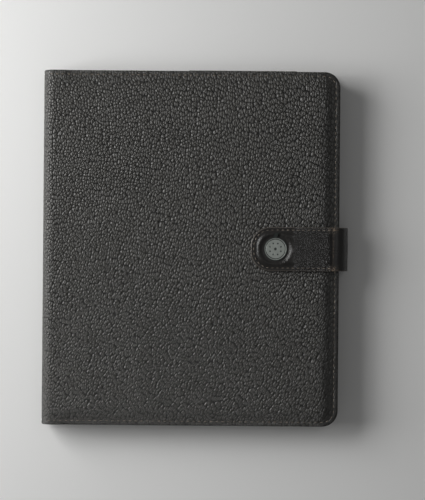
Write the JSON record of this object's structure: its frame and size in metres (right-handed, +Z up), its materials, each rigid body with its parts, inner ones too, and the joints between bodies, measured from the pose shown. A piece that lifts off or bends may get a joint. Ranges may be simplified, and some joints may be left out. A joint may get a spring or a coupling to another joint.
{
  "type": "tablet case",
  "caption": "Folio case in dark leather that holds a tablet in a framed bay, folds open like a book and closes with a strap and press stud.",
  "frame": {"origin": "middle of the back cover's outer face, which the case lies on", "axes": "+X from the spine to the fore-edge and the strap, +Y to the mouth of the tablet bay, +Z up out of the front cover"},
  "size_m": [0.2207, 0.2569, 0.0252],
  "materials": {
    "cover_leather": "pebbled, semi-matt dark brown",
    "strap_leather": "smooth, lightly polished dark brown",
    "inner_leather": "fine grain, matt dark brown",
    "suede_lining": "brushed microsuede",
    "board": "raw grey board",
    "foam": "black padding foam",
    "pewter": "brushed antique pewter",
    "nickel": "plain nickel plate",
    "spring_wire": "bright wire"
  },
  "bodies": {
    "back_cover": {"back_leather": "cover_leather", "back_board": "board", "back_lining": "suede_lining", "wall_boards": "board", "gusset_spine_side": "inner_leather", "gusset_fore_side": "inner_leather", "gusset_end": "inner_leather", "bezel_board": "board", "bezel_leather": "inner_leather", "flap_hinge": "inner_leather", "strap_root": "strap_leather"},
    "mouth_flap": {"flap_leather": "inner_leather", "flap_board": "board", "flap_pull": "strap_leather"},
    "spine": {"spine_leather": "cover_leather", "spine_board": "board", "spine_lining": "suede_lining"},
    "front_cover": {"front_leather": "cover_leather", "front_padding": "foam", "front_board": "board", "front_lining": "suede_lining", "document_pocket": "inner_leather", "card_slot_upper": "inner_leather", "card_slot_middle": "inner_leather", "card_slot_lower": "inner_leather", "snap_stud": "nickel", "stud_rivet": "nickel"},
    "strap_bridge": {"bridge_leather": "strap_leather", "bridge_lining": "inner_leather"},
    "strap_tab": {"tab_leather": "strap_leather", "tab_filler": "foam", "tab_lining": "inner_leather", "snap_cap": "pewter", "snap_socket": "nickel", "socket_spring": "spring_wire"}
  },
  "joints": [
    {"name": "spine_fold", "type": "hinge", "parent": "back_cover", "child": "spine", "pos_m": [-0.10501, 0, 0.00209], "axis": [0, -1, 0], "range_deg": [0, 90]},
    {"name": "cover_fold", "type": "hinge", "parent": "spine", "child": "front_cover", "pos_m": [-0.10501, 0, 0.01941], "axis": [0, -1, 0], "range_deg": [0, 90]},
    {"name": "strap_root_fold", "type": "hinge", "parent": "back_cover", "child": "strap_bridge", "pos_m": [0.11195, 0, 0.00285], "axis": [0, 1, 0], "range_deg": [0, 90]},
    {"name": "strap_tab_fold", "type": "hinge", "parent": "strap_bridge", "child": "strap_tab", "pos_m": [0.11063, 0, 0.02113], "axis": [0, 1, 0], "range_deg": [0, 90]},
    {"name": "flap_fold", "type": "hinge", "parent": "back_cover", "child": "mouth_flap", "pos_m": [0.00635, 0.1232, 0.0042], "axis": [-1, 0, 0], "range_deg": [0, 75]}
  ]
}
